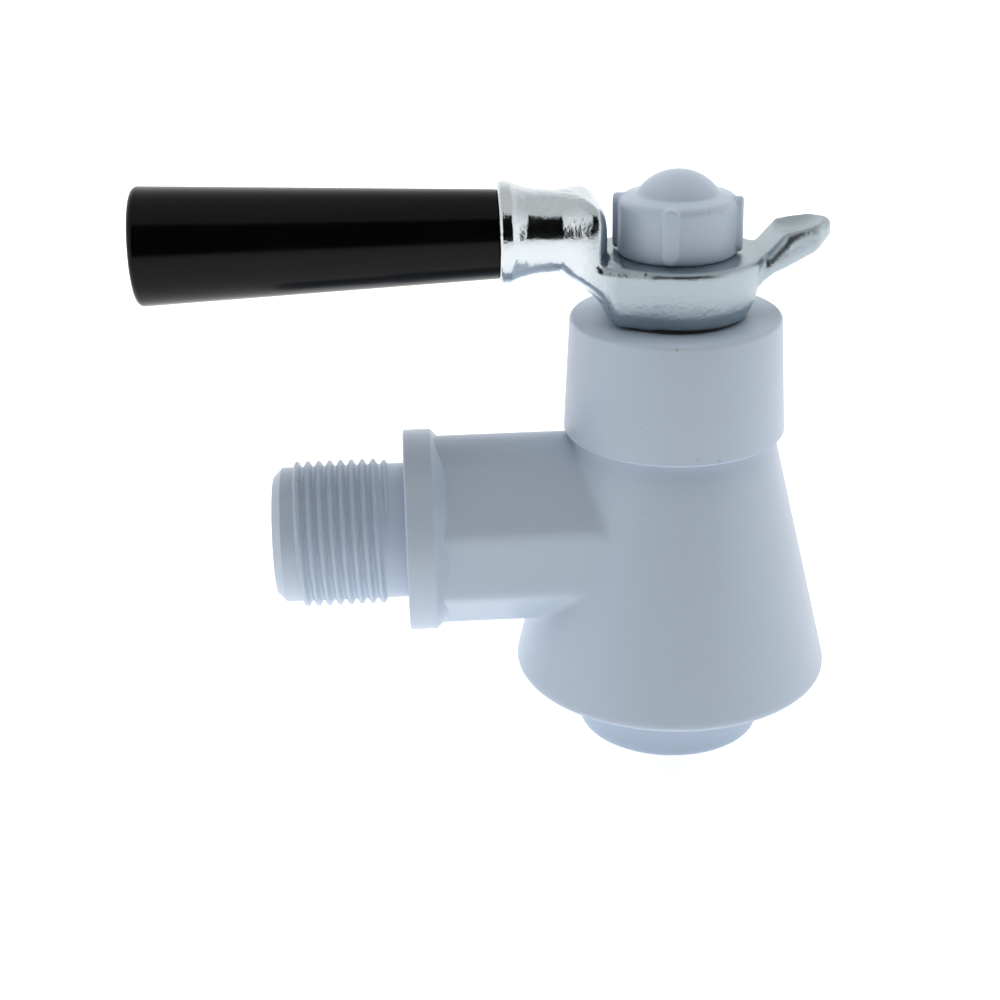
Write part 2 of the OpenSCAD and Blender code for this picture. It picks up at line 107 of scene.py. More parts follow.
STEM_X = (bonnet_low[0] + bonnet_high[0]) / 2
NOSE_X = body_low[0]
CONE_FOOT_R = body_high[1]
SPOUT_FOOT = body_low[2]
BONNET_FOOT = bonnet_low[2]
BONNET_TOP = bonnet_high[2]
HUB_TOP = nut_low[2]
GRIP_Z = (grip_low[2] + grip_high[2]) / 2
GRIP_INNER_X = grip_high[0]
GRIP_OUTER_X = grip_low[0]
print("stem axis at x =", round(STEM_X, 2), "| bonnet top at z =", round(BONNET_TOP, 2))

# %% [markdown]
# ## Helpers for node trees
# Materials and Geometry Nodes are both trees of nodes. Written out in full, each node takes four or five
# lines, so these helpers make one node and its links in a single call. A value that is a socket gets a
# link, and any other value is set on the input itself.

# %% Helpers for node trees
def add(tree, kind, inputs=None, **settings):
    node = tree.nodes.new(kind)
    for key, value in settings.items():
        setattr(node, key, value)
    for key, value in (inputs or {}).items():
        if isinstance(value, bpy.types.NodeSocket):
            tree.links.new(value, node.inputs[key])
        else:
            node.inputs[key].default_value = value
    return node


def calc(tree, operation, *values):
    """One Math node, so that a formula reads from left to right."""
    return add(tree, "ShaderNodeMath", dict(enumerate(values)), operation=operation).outputs[0]


def mix_colour(tree, share, first, second):
    """The first colour, turning into the second as share goes from 0 to 1."""
    node = add(tree, "ShaderNodeMix", {0: share, 6: first, 7: second}, data_type="RGBA")
    return node.outputs[2]


def new_tree(kind, name, inputs, outputs):
    """A node group whose sockets are named, with the sockets' types told by their default values."""
    types = {int: "NodeSocketInt", float: "NodeSocketFloat", tuple: "NodeSocketVector"}
    tree = bpy.data.node_groups.new(name, kind)
    for label, value in inputs.items():
        if value == "mesh":
            tree.interface.new_socket(label, in_out="INPUT", socket_type="NodeSocketGeometry")
            continue
        socket = tree.interface.new_socket(label, in_out="INPUT", socket_type=types[type(value)])
        socket.default_value = value
    for label, socket_type in outputs.items():
        tree.interface.new_socket(label, in_out="OUTPUT", socket_type=socket_type)
    return tree, tree.nodes.new("NodeGroupInput").outputs, tree.nodes.new("NodeGroupOutput").inputs

# %% [markdown]
# ## Effects that several finishes share
# Specks, grain and single marks turn up on more than one material, so each is a group that is built once.
# A group gives only a mask or a height. Each material then decides what that does: a speck is dirt on the
# plastic, and grain is orange peel on one surface and casting texture on another.

# %% Specks, grain and marks
SPECKS, given, result = new_tree("ShaderNodeTree", "specks", {
    "Position": (0.0, 0.0, 0.0), "Spacing": 0.004, "Size": 0.0003, "Share": 0.3},
    {"Mask": "NodeSocketFloat"})
per_metre = calc(SPECKS, "DIVIDE", 1.0, given["Spacing"])
spread = add(SPECKS, "ShaderNodeVectorMath", {0: given["Position"], "Scale": per_metre}, operation="SCALE")
cells = add(SPECKS, "ShaderNodeTexVoronoi", {"Vector": spread.outputs[0], "Scale": 1.0})
chance = add(SPECKS, "ShaderNodeSeparateColor", {0: cells.outputs["Color"]})
kept = calc(SPECKS, "LESS_THAN", chance.outputs[0], given["Share"])
radius = calc(SPECKS, "MULTIPLY", calc(SPECKS, "DIVIDE", given["Size"], given["Spacing"]),
              calc(SPECKS, "ADD", 0.35, chance.outputs[1]))
near = add(SPECKS, "ShaderNodeMapRange", {
    "Value": cells.outputs["Distance"],
    "From Min": radius, "From Max": calc(SPECKS, "MULTIPLY", radius, 0.5)})
SPECKS.links.new(calc(SPECKS, "MULTIPLY", near.outputs[0], kept), result["Mask"])

GRAIN, given, result = new_tree("ShaderNodeTree", "grain", {
    "Position": (0.0, 0.0, 0.0), "Size": 0.0005, "Depth": 3.0},
    {"Height": "NodeSocketFloat"})
noise = add(GRAIN, "ShaderNodeTexNoise", {
    "Vector": given["Position"], "Scale": calc(GRAIN, "DIVIDE", 1.0, given["Size"]),
    "Detail": given["Depth"], "Roughness": 0.55})
GRAIN.links.new(noise.outputs[0], result["Height"])

MARK, given, result = new_tree("ShaderNodeTree", "mark", {
    "Position": (0.0, 0.0, 0.0), "Centre": (0.0, 0.0, 0.0), "Radius": 0.0005, "Ragged": 0.5},
    {"Mask": "NodeSocketFloat"})
away = add(MARK, "ShaderNodeVectorMath", {0: given["Position"], 1: given["Centre"]}, operation="DISTANCE")
ragged = add(MARK, "ShaderNodeTexNoise", {
    "Vector": given["Position"], "Scale": calc(MARK, "DIVIDE", 1.5, given["Radius"]), "Detail": 2.0})
wander = calc(MARK, "MULTIPLY", calc(MARK, "SUBTRACT", ragged.outputs[0], 0.5), given["Ragged"])
reach = calc(MARK, "ADD", calc(MARK, "DIVIDE", away.outputs["Value"], given["Radius"]), wander)
MARK.links.new(add(MARK, "ShaderNodeMapRange", {
    "Value": reach, "From Min": 1.0, "From Max": 0.6}).outputs[0], result["Mask"])
print("shared effects:", [g.name for g in (SPECKS, GRAIN, MARK)])

# %% [markdown]
# ## The finishes
# Each material of the record gets a finish. The plastics differ only in their marks and in how fine
# their grain is, so one function makes them all. The plated zinc is a mirror that is broken up by the
# roughness of its casting, and over the hub and tab its colour is darkened as painted shade. The grip is
# black phenolic, which is as smooth as glass.

# %% Material helpers
def effect(tree, group, inputs):
    return add(tree, "ShaderNodeGroup", inputs, node_tree=group).outputs[0]


def new_finish(name, roughness=0.4, metallic=0.0, colour=(0.5, 0.5, 0.5)):
    """A material with its shader, and the position that its patterns read."""
    material = bpy.data.materials.new(name + "_finish")
    material.use_nodes = True
    shader = material.node_tree.nodes["Principled BSDF"]
    shader.inputs["Base Color"].default_value = (*colour, 1)
    shader.inputs["Roughness"].default_value = roughness
    shader.inputs["Metallic"].default_value = metallic
    position = add(material.node_tree, "ShaderNodeTexCoord").outputs["Object"]
    return material, material.node_tree, shader, position


def bumps(tree, shader, heights):
    """Bump nodes in a chain, one for each (height, depth in metres)."""
    normal = None
    for height, depth in heights:
        inputs = {"Height": height, "Distance": depth, "Strength": 1.0}
        if normal:
            inputs["Normal"] = normal
        normal = add(tree, "ShaderNodeBump", inputs).outputs[0]
    tree.links.new(normal, shader.inputs["Normal"])

# %% Plastics
PLASTIC = (0.60, 0.70, 0.83)
PLASTIC_SHADE = (0.55, 0.63, 0.74)
DIRT = (0.10, 0.07, 0.05)
# Each mark is its centre and radius in mm, its colour and how strongly it covers
BROWN = (0.40, 0.32, 0.12)
RED = (0.45, 0.14, 0.12)
SCUFF = (0.43, 0.48, 0.56)
BODY_MARKS = (
    ((18.2, -6.4, 16.3), 0.22, DIRT, 0.9), ((41.6, -18.6, 10.0), 0.15, DIRT, 0.6),
    ((28.7, -8.9, 14.1), 0.25, SCUFF, 0.6), ((35.5, -13.0, 14.4), 0.25, SCUFF, 0.6),
    ((-12.3, -13.4, 1.5), 0.60, BROWN, 0.5), ((-19.0, -4.3, 12.6), 0.50, RED, 0.35),
)
BONNET_MARKS = (
    ((41.5, -17.9, 25.7), 0.15, DIRT, 0.6), ((47.1, -18.7, 39.8), 0.35, BROWN, 0.5),
    ((51.0, -20.0, 19.9), 0.45, SCUFF, 0.35), ((54.8, -19.4, 19.4), 0.50, SCUFF, 0.4),
)
NUT_MARKS = (((53.5, -9.5, 60.8), 0.45, SCUFF, 0.4), ((55.8, -8.5, 60.4), 0.40, SCUFF, 0.4))


def moulded_plastic(name, roughness, peel, marks):
    material, tree, shader, position = new_finish(name, roughness)
    mottle = effect(tree, GRAIN, {"Position": position, "Size": 0.012, "Depth": 3.0})
    fine = effect(tree, GRAIN, {"Position": position, "Size": peel, "Depth": 2.0})
    colour = mix_colour(tree, calc(tree, "MULTIPLY", mottle, 0.35), (*PLASTIC, 1), (*PLASTIC_SHADE, 1))
    specks = effect(tree, SPECKS, {"Position": position, "Spacing": 0.007, "Size": 0.00013, "Share": 0.12})
    colour = mix_colour(tree, calc(tree, "MULTIPLY", specks, 0.4), colour, (*DIRT, 1))
    for centre, radius, tint, cover in marks:
        spot = effect(tree, MARK, {
            "Position": position, "Centre": [v * MM for v in centre], "Radius": radius * MM})
        colour = mix_colour(tree, calc(tree, "MULTIPLY", spot, cover), colour, (*tint, 1))
    tree.links.new(colour, shader.inputs["Base Color"])
    tree.links.new(calc(tree, "ADD", roughness - 0.06, calc(tree, "MULTIPLY", mottle, 0.12)),
                   shader.inputs["Roughness"])
    bumps(tree, shader, [(mottle, 0.00006), (fine, 0.000006)])
    return material


finishes = {
    "body_plastic": moulded_plastic("body_plastic", 0.34, 0.0006, BODY_MARKS),
    "bonnet_plastic": moulded_plastic("bonnet_plastic", 0.36, 0.0005, BONNET_MARKS),
    "nut_plastic": moulded_plastic("nut_plastic", 0.34, 0.0005, NUT_MARKS),
}

# %% Plated zinc and the black grip
HUB_EDGE_X = (STEM_X - 14) * MM
SCRATCH = ((42.6, -12.5, 51.2), 0.5)

material, tree, shader, position = new_finish("plated_zinc", 0.14, 1.0, (0.70, 0.75, 0.78))
across = add(tree, "ShaderNodeSeparateXYZ", {0: position}).outputs["X"]
# Towards the hub and tab the zinc turns rougher, and its colour is darkened there as painted shade
as_cast_and_painted_shade = add(tree, "ShaderNodeMapRange", {
    "Value": across, "From Min": HUB_EDGE_X - 4 * MM, "From Max": HUB_EDGE_X + 3 * MM}).outputs[0]
lumps = effect(tree, GRAIN, {"Position": position, "Size": 0.0024, "Depth": 3.0})
cast = effect(tree, GRAIN, {"Position": position, "Size": 0.0007, "Depth": 4.0})
polish = calc(tree, "ADD", 0.07, calc(tree, "MULTIPLY", cast, 0.12))
tree.links.new(calc(tree, "ADD", polish, calc(tree, "MULTIPLY", as_cast_and_painted_shade, 0.20)), shader.inputs["Roughness"])
scratch = effect(tree, MARK, {
    "Position": position, "Centre": [v * MM for v in SCRATCH[0]], "Radius": SCRATCH[1] * MM})
# The zinc's colour darkens with the casting grain, and over the hub and tab with a painted shade
cast_grain_and_painted_shade = calc(tree, "ADD", calc(tree, "MULTIPLY", cast, 0.4), calc(tree, "MULTIPLY", as_cast_and_painted_shade, 0.9))
zinc = mix_colour(tree, cast_grain_and_painted_shade, (0.84, 0.89, 0.92, 1), (0.43, 0.50, 0.54, 1))
tree.links.new(mix_colour(tree, scratch, zinc, (0.06, 0.05, 0.05, 1)), shader.inputs["Base Color"])
cast_depth = calc(tree, "MULTIPLY", cast, calc(tree, "ADD", 0.5, as_cast_and_painted_shade))
bumps(tree, shader, [(lumps, 0.00010), (cast_depth, 0.00005)])
finishes["plated_zinc"] = material

material, tree, shader, position = new_finish("black_grip", 0.16, 0.0, (0.006, 0.006, 0.006))
cloud = effect(tree, GRAIN, {"Position": position, "Size": 0.010, "Depth": 4.0})
tree.links.new(calc(tree, "ADD", 0.12, calc(tree, "MULTIPLY", cloud, 0.10)), shader.inputs["Roughness"])
tree.links.new(mix_colour(tree, cloud, (0.001, 0.001, 0.001, 1), (0.004, 0.003, 0.003, 1)),
               shader.inputs["Base Color"])
bumps(tree, shader, [(cloud, 0.00002)])
shader.inputs["Specular IOR Level"].default_value = 0.18
finishes["black_grip"] = material

# %% Rubber, brass, steels and the bearing plastic
# Each is a colour, metallic, roughness, the size of its grain in mm and the grain's depth in mm
PLAIN_FINISHES = {
    "seal_rubber": ((0.020, 0.020, 0.021), 0.0, 0.55, 0.25, 0.010),
    "dark_washer": ((0.050, 0.050, 0.052), 0.0, 0.50, 0.30, 0.010),
    "bearing_plastic": ((0.640, 0.610, 0.540), 0.0, 0.42, 0.50, 0.006),
    "stainless_steel": ((0.620, 0.610, 0.590), 1.0, 0.26, 0.12, 0.003),
    "spring_steel": ((0.480, 0.480, 0.470), 1.0, 0.30, 0.15, 0.003),
    "brass_insert": ((0.780, 0.570, 0.240), 1.0, 0.28, 0.20, 0.004),
}
for name, (colour, metallic, roughness, grain, depth) in PLAIN_FINISHES.items():
    material, tree, shader, position = new_finish(name, roughness, metallic, colour)
    height = effect(tree, GRAIN, {"Position": position, "Size": grain * MM, "Depth": 2.0})
    cloud = effect(tree, GRAIN, {"Position": position, "Size": 20 * grain * MM, "Depth": 2.0})
    tree.links.new(mix_colour(tree, cloud, (*colour, 1), (*(0.8 * c for c in colour), 1)),
                   shader.inputs["Base Color"])
    tree.links.new(calc(tree, "ADD", roughness - 0.05, calc(tree, "MULTIPLY", cloud, 0.1)),
                   shader.inputs["Roughness"])
    bumps(tree, shader, [(height, depth * MM)])
    finishes[name] = material
print("finishes:", sorted(finishes))

# %% [markdown]
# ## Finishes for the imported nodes
# The pieces inside the tap stay as they were packed. Their shapes are right, so each one only gets the
# finish that its slot in the record names.

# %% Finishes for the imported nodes
def give_finish(piece, slot):
    """Gives a new piece the one material of that slot in the record."""
    piece.data.materials.clear()
    piece.data.materials.append(finishes[slot])


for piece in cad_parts.values():
    for held in piece.material_slots:
        held.material = finishes[held.material.name]

# %% [markdown]
# ## Two ways to make a form
# A turned piece, such as the bonnet, is an outline spun about its axis. Blender's Screw modifier could
# do that, but a short loop gives clean rings and closed poles. The outline is a list of points, with
# round corners written as arcs.

# %% Outlines and turned pieces
def arc(centre, radius, start, end, steps=6):
    """Points of a round corner, from one angle to another, in degrees."""
    angles = np.radians(np.linspace(start, end, steps + 1))
    return [(centre[0] + radius * math.cos(a), centre[1] + radius * math.sin(a)) for a in angles]


def link(name, mesh):
    piece = bpy.data.objects.new(name, mesh)
    bpy.context.scene.collection.objects.link(piece)
    return piece


def finish_mesh(mesh, sharp_angle=35):
    """Merges doubled points, points the faces outwards, and shades the mesh smooth except at hard edges."""
    work = bmesh.new()
    work.from_mesh(mesh)
    bmesh.ops.remove_doubles(work, verts=work.verts, dist=1e-7)
    bmesh.ops.dissolve_degenerate(work, edges=work.edges, dist=1e-8)
    bmesh.ops.recalc_face_normals(work, faces=work.faces)
    work.to_mesh(mesh)
    work.free()
    mesh.shade_smooth()
    mesh.set_sharp_from_angle(angle=math.radians(sharp_angle))


def turned(name, outline, place, axis="z", segments=160):
    """Spins a closed outline of (radius, height) points about an axis through a place, all in mm."""
    count = len(outline)
    turns = np.linspace(0, 2 * math.pi, segments, endpoint=False)
    points = []
    for a in turns:
        for radius, height in outline:
            spun = (radius * math.cos(a), radius * math.sin(a), height)
            if axis == "x":
                spun = (spun[2], spun[0], spun[1])
            points.append((np.array(spun) + place) * MM)
    faces = []
    for k in range(count):
        n = (k + 1) % count
        if outline[k][0] == outline[n][0] == 0:
            continue
        for i in range(segments):
            j = (i + 1) % segments
            faces.append((i * count + k, j * count + k, j * count + n, i * count + n))
    mesh = bpy.data.meshes.new(name)
    mesh.from_pydata(points, [], faces)
    finish_mesh(mesh)
    print(name, "has", len(mesh.polygons), "faces")
    return link(name, mesh)

# %% [markdown]
# ## Forms that melt into each other
# The body and the lever were moulded and cast: the arm runs into the bell with a round fillet, and the
# lever's hub swells into its socket. Meshes joined by a Boolean keep a hard seam there. A distance field
# doesn't: for every point in space it says how far the nearest surface is, and two fields are joined by a
# formula with the fillet's radius in it. OpenVDB, which ships with Blender, then wraps a mesh round all
# points where the distance is zero.

# %% Distance fields
VOXEL = 0.55


def space(low, high, voxel):
    """Coordinates of a regular grid that covers a box with a little room round it, in mm."""
    low = np.floor(np.array(low, float) / voxel) * voxel - 2 * voxel
    counts = np.ceil((np.array(high, float) - low) / voxel).astype(int) + 3
    axes = [low[i] + voxel * np.arange(counts[i], dtype=np.float32) for i in range(3)]
    x, y, z = np.meshgrid(*axes, indexing="ij", sparse=True)
    return low, x.astype(np.float32), y.astype(np.float32), z.astype(np.float32)


def outline_distance(outline, u, v):
    """Distance from (u, v) to a closed outline, negative inside it."""
    best = np.full(np.broadcast(u, v).shape, 1e9, np.float32)
    inside = np.zeros(best.shape, bool)
    for (ax, ay), (bx, by) in zip(outline, outline[1:] + outline[:1]):
        ex, ey = bx - ax, by - ay
        length = ex * ex + ey * ey
        if length < 1e-12:
            continue
        along = np.clip(((u - ax) * ex + (v - ay) * ey) / length, 0, 1)
        best = np.minimum(best, (u - ax - ex * along) ** 2 + (v - ay - ey * along) ** 2)
        crosses = (v < ay) != (v < by)
        if ey:
            inside ^= crosses & (u < ax + ex * (v - ay) / ey)
    return np.where(inside, -1, 1) * np.sqrt(best)


def join(a, b, fillet=0.0):
    """Both forms as one, with a round fillet of that radius where they meet."""
    if not fillet:
        return np.minimum(a, b)
    corner = np.hypot(np.maximum(fillet - a, 0), np.maximum(fillet - b, 0))
    return np.maximum(fillet, np.minimum(a, b)) - corner


def common(a, b, rounding=0.0):
    """What both forms share, with its edge rounded."""
    return -join(-a, -b, rounding)


def cut(a, b, rounding=0.0):
    """The first form with the second taken out of it."""
    return common(a, -b, rounding)


def wrapped(name, field, low, voxel, place=(0, 0, 0)):
    """A smooth closed mesh round the field's zero surface."""
    grid = openvdb.FloatGrid()
    grid.copyFromArray(np.clip(field, -3 * voxel, 3 * voxel).astype(np.float32))
    points, triangles, quads = grid.convertToPolygons(isovalue=0.0, adaptivity=0.0)
    points = (points * voxel + low + np.array(place)) * MM
    mesh = bpy.data.meshes.new(name)
    mesh.from_pydata(points.tolist(), [], triangles.tolist() + quads.tolist())
    finish_mesh(mesh, sharp_angle=60)
    print(name, "has", sum(len(p.vertices) - 2 for p in mesh.polygons), "triangles")
    return link(name, mesh)

# %% [markdown]
# ## The moulded body
# Shank, flange, arm, bell and spout are one moulding. Its shank and flange are turned outlines, and its
# arm, bell and spout are distance fields joined with a fillet. The ways for the product are then taken
# out: the inlet through shank and arm, and the piston's bore down through the seat to the spout.

# %% Body sizes, in mm
CONE_TOP_R = 18.2
CONE_H = 47.9
CONE_EDGE_R = 1.2
SPOUT_R = 17.3
SPOUT_BORE_R = 12.5
ARM_FLATS = 32.6
ARM_EDGE_R = 0.8
ARM_ROUND_R = 18.0
ARM_BLEND_R = 3.0
ARM_DROP = 0.35
ARM_FILLET = 1.1
FLANGE_R = 18.65
FLANGE_T = 5.3
FLANGE_BACK = 1.9
FLANGE_EDGE_R = 0.5
FLANGE_FOOT_R = 16.2
THREAD_R = 13.5
THREAD_PITCH = 2.0
CREST_FLAT = 0.5
THREAD_TURNS = 8.75
CORE_R = 12.5
NOSE_CHAMFER = 1.6
INLET_R = 8.5
PASSAGE_R = 8.0
THREAD_START = NOSE_X + 3.5
NECK_R = 17.0
PISTON_BORE_R = 11.45
SEAT_HOLE_R = 8.0
SEAT_Z = valve_low[2]
NECK_TOP = body_high[2]
CONE_FOOT = BONNET_FOOT - CONE_H

# %% [markdown]
# ## Shank and flange
# The shank and the flange were turned by the mould-maker, so their edges are crisp. A distance field on
# a half-millimetre grid would soften them. They are spun from an outline instead, and the joint with
# the arm is the line where the flange's cone meets the arm's flats.

# %% Shank and flange
shank = turned("shank_and_flange", [
    (INLET_R, NOSE_X + 0.3), (INLET_R + 0.3, NOSE_X), (CORE_R - NOSE_CHAMFER, NOSE_X),
    (CORE_R, NOSE_X + NOSE_CHAMFER), (CORE_R, 0),
    *arc((FLANGE_R - FLANGE_EDGE_R, FLANGE_EDGE_R), FLANGE_EDGE_R, -90, 0),
    *arc((FLANGE_R - FLANGE_EDGE_R, FLANGE_T - FLANGE_EDGE_R), FLANGE_EDGE_R, 0, 50),
    (FLANGE_FOOT_R, FLANGE_T + FLANGE_BACK + 0.4), (INLET_R, FLANGE_T + FLANGE_BACK + 0.4),
], (0, 0, 0), axis="x", segments=192)
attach(shank, "faucet")
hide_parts("faucet_body")
give_finish(shank, "body_plastic")

# %% [markdown]
# ## Arm, bell and spout
# The bell is a cone with a rounded lower edge, and the arm runs into it at a right angle. Their joint
# is a curve that no outline can describe. Two distance fields joined with a fillet give it at once.
# The arm is a round bar with seven flats. The photograph shows its top as round, so no flat is cut there.

# %% Arm, bell and spout
ARM_START = 3.0

low, x, y, z = space((ARM_START, body_low[1], body_low[2]), body_high, VOXEL)
from_stem = np.hypot(x - STEM_X, y)
from_shank = np.hypot(y, z)

bell = outline_distance([
    (0, SPOUT_FOOT), (SPOUT_R - 0.6, SPOUT_FOOT), (SPOUT_R, SPOUT_FOOT + 0.6), (SPOUT_R, CONE_FOOT),
    *arc((CONE_FOOT_R - CONE_EDGE_R, CONE_FOOT + CONE_EDGE_R), CONE_EDGE_R, -90, 13),
    (CONE_TOP_R, BONNET_FOOT), (NECK_R, BONNET_FOOT), (NECK_R, NECK_TOP), (0, NECK_TOP),
], from_stem, z)

arm = from_shank - ARM_ROUND_R
for side in (45, 135, 180, 225, 270, 315, 360):
    a = math.radians(side)
    flat = y * math.cos(a) + (z + ARM_DROP) * math.sin(a) - ARM_FLATS / 2
    arm = common(arm, flat, ARM_BLEND_R if side < 180 else ARM_EDGE_R)
arm = common(arm, np.maximum(ARM_START - x, x - STEM_X))

way = outline_distance([
    (0, NECK_TOP + 1), (PISTON_BORE_R, NECK_TOP + 1), (PISTON_BORE_R, SEAT_Z), (SEAT_HOLE_R, SEAT_Z),
    (SEAT_HOLE_R, SEAT_Z - 3), (SPOUT_BORE_R, SEAT_Z - 9), (SPOUT_BORE_R, SPOUT_FOOT - 1),
    (0, SPOUT_FOOT - 1),
], from_stem, z)
inlet = join(common(from_shank - INLET_R - 0.1, x - FLANGE_T - FLANGE_BACK),
             common(from_shank - PASSAGE_R, x - STEM_X))

solid = join(bell, arm, ARM_FILLET)
body = wrapped("moulded_body", cut(cut(solid, way, 0.4), inlet, 0.4), low, VOXEL)
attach(body, "faucet")
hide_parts("faucet_body")
give_finish(body, "body_plastic")

# %% [markdown]
# ## The thread
# A real screw thread is one ridge that climbs round the shank, a pitch for each turn. Nine rings would
# look nearly the same from the side, but their ends would give them away. Geometry Nodes sweep one
# outline along a helix, so pitch, depth and length stay inputs that can be changed.

# %% Pieces grown by Geometry Nodes
def grown(name, tree, values):
    """Runs a tree on an empty mesh, with its inputs set by their identifiers, and keeps the plain result."""
    holder = link(name + "_holder", bpy.data.meshes.new(name + "_holder"))
    modifier = holder.modifiers.new(tree.name, "NODES")
    modifier.node_group = tree
    for item in tree.interface.items_tree:
        if item.item_type == "SOCKET" and item.in_out == "INPUT" and item.name in values:
            modifier[item.identifier] = values[item.name]
    bpy.context.view_layer.update()
    seen = holder.evaluated_get(bpy.context.evaluated_depsgraph_get())
    mesh = bpy.data.meshes.new_from_object(seen)
    holder.modifiers.clear()
    bpy.data.objects.remove(holder)
    mesh.name = name
    return mesh

# %% Thread
def helical_ridge(material):
    """A right-hand ridge about Z. Its first and last part turn sinks into the core."""
    tree, out, result = new_tree("GeometryNodeTree", "helical_ridge", {
        "Mesh": "mesh", "Turns": 8.5, "Pitch": 0.002, "Core Radius": 0.0125, "Crest Radius": 0.0135,
        "Crest Flat": 0.0005, "Run Out": 0.05, "Steps Per Turn": 96},
        {"Mesh": "NodeSocketGeometry"})
    length = calc(tree, "MULTIPLY", out["Turns"], out["Pitch"])
    depth = calc(tree, "SUBTRACT", out["Crest Radius"], out["Core Radius"])
    helix = add(tree, "GeometryNodeCurveSpiral", {
        "Resolution": out["Steps Per Turn"], "Rotations": out["Turns"],
        "Start Radius": out["Core Radius"], "End Radius": out["Core Radius"], "Height": length,
        "Reverse": True})
    along = add(tree, "GeometryNodeSplineParameter").outputs["Factor"]
    from_end = calc(tree, "SUBTRACT", 0.5, calc(tree, "ABSOLUTE", calc(tree, "SUBTRACT", along, 0.5)))
    rise = calc(tree, "MINIMUM", calc(tree, "DIVIDE", from_end, out["Run Out"]), 1.0)
    sink = calc(tree, "MULTIPLY", calc(tree, "SUBTRACT", rise, 1.0), calc(tree, "MULTIPLY", depth, 1.1))
    place = add(tree, "GeometryNodeInputPosition").outputs[0]
    flat = add(tree, "ShaderNodeVectorMath", {0: place, 1: (1, 1, 0)}, operation="MULTIPLY")
    outwards = add(tree, "ShaderNodeVectorMath", {0: flat.outputs[0]}, operation="NORMALIZE")
    shift = add(tree, "ShaderNodeVectorMath", {0: outwards.outputs[0], "Scale": sink}, operation="SCALE")
    placed = add(tree, "GeometryNodeSetPosition", {
        "Geometry": helix.outputs["Curve"], "Offset": shift.outputs[0]})
    upright = add(tree, "GeometryNodeSetCurveNormal", {"Curve": placed.outputs[0]}, mode="Z_UP")

    half_flat = calc(tree, "DIVIDE", out["Crest Flat"], 2.0)
    flank = calc(tree, "MULTIPLY", depth, math.tan(math.radians(30)))
    half_root = calc(tree, "ADD", half_flat, calc(tree, "MULTIPLY", flank, 1.2))
    root = calc(tree, "MULTIPLY", depth, -0.2)
    corners = []
    # On this curve the outline's X points away from the axis, and its Y along it
    for across, height in ((calc(tree, "MULTIPLY", half_root, -1.0), root),
                           (calc(tree, "MULTIPLY", half_flat, -1.0), depth),
                           (half_flat, depth), (half_root, root)):
        corners.append(add(tree, "ShaderNodeCombineXYZ", {"X": height, "Y": across}).outputs[0])
    outline = add(tree, "GeometryNodeCurvePrimitiveQuadrilateral", {
        f"Point {i + 1}": corner for i, corner in enumerate(corners)}, mode="POINTS")
    swept = add(tree, "GeometryNodeCurveToMesh", {
        "Curve": upright.outputs[0], "Profile Curve": outline.outputs[0], "Fill Caps": True})
    real = add(tree, "GeometryNodeRealizeInstances", {"Geometry": swept.outputs[0]})
    coated = add(tree, "GeometryNodeSetMaterial", {"Geometry": real.outputs[0], "Material": material})
    tree.links.new(coated.outputs[0], result[0])
    return tree

thread = link("shank_thread", grown("shank_thread", helical_ridge(finishes["body_plastic"]), {
    "Turns": THREAD_TURNS, "Pitch": THREAD_PITCH * MM, "Core Radius": CORE_R * MM,
    "Crest Radius": THREAD_R * MM, "Crest Flat": CREST_FLAT * MM}))
along_shank = Matrix.Translation((THREAD_START * MM, 0, 0)) @ Matrix.Rotation(math.radians(90), 4, "Y")
thread.data.transform(along_shank)
finish_mesh(thread.data, sharp_angle=25)
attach(thread, "faucet")
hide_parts("faucet_body")
ridge = np.array([v.co for v in thread.data.vertices]) / MM
print("ridge from x =", round(ridge[:, 0].min(), 2), "to", round(ridge[:, 0].max(), 2),
      "| crest radius", round(np.hypot(ridge[:, 1], ridge[:, 2]).max(), 2))

# %% [markdown]
# ## The bonnet
# The bonnet is a plain turned cap that screws over the body's neck. Its foot is a little wider than
# the body's top, which leaves the fine bright line round the tap, so it has a small bevel there.

# %% Bonnet
BONNET_BOTTOM_R = 20.1
BONNET_TOP_R = 19.0
BONNET_EDGE_R = 0.8
BUSH_HOLE_R = 7.52
CAVITY_R = 12.5
ROOF = 4.0
bonnet = turned("bonnet_cap", [
    (NECK_R + 0.02, BONNET_FOOT), (BONNET_BOTTOM_R - 0.3, BONNET_FOOT), (BONNET_BOTTOM_R, BONNET_FOOT + 0.3),
    *arc((BONNET_TOP_R - BONNET_EDGE_R, BONNET_TOP - BONNET_EDGE_R), BONNET_EDGE_R, 3, 90),
    (BUSH_HOLE_R, BONNET_TOP), (BUSH_HOLE_R, BONNET_TOP - ROOF), (CAVITY_R, BONNET_TOP - ROOF),
    (CAVITY_R, NECK_TOP + 0.02), (NECK_R + 0.02, NECK_TOP + 0.02),
], (STEM_X, 0, 0))
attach(bonnet, "faucet")
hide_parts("bonnet")
give_finish(bonnet, "bonnet_plastic")

# %% [markdown]
# ## The return spring
# The spring stands in the bonnet, between the piston and a washer under the roof. Its packed form is
# right, but it is rigid, and the piston would cut its lower turns when the stem rises. Here it is only
# copied in its packed form and held by the faucet; it does not shorten as the stem lifts.

# %% Return spring
spring = link("closing_spring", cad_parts["return_spring"].data.copy())
finish_mesh(spring.data)
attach(spring, "faucet")
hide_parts("return_spring")
give_finish(spring, "spring_steel")
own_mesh(spring)

# %% [markdown]
# ## The grip
# The grip is a tapered rod of black phenolic with a rounded end. An outline with two corners and two
# arcs is all it needs, because its look comes from a clear gloss and not from detail.

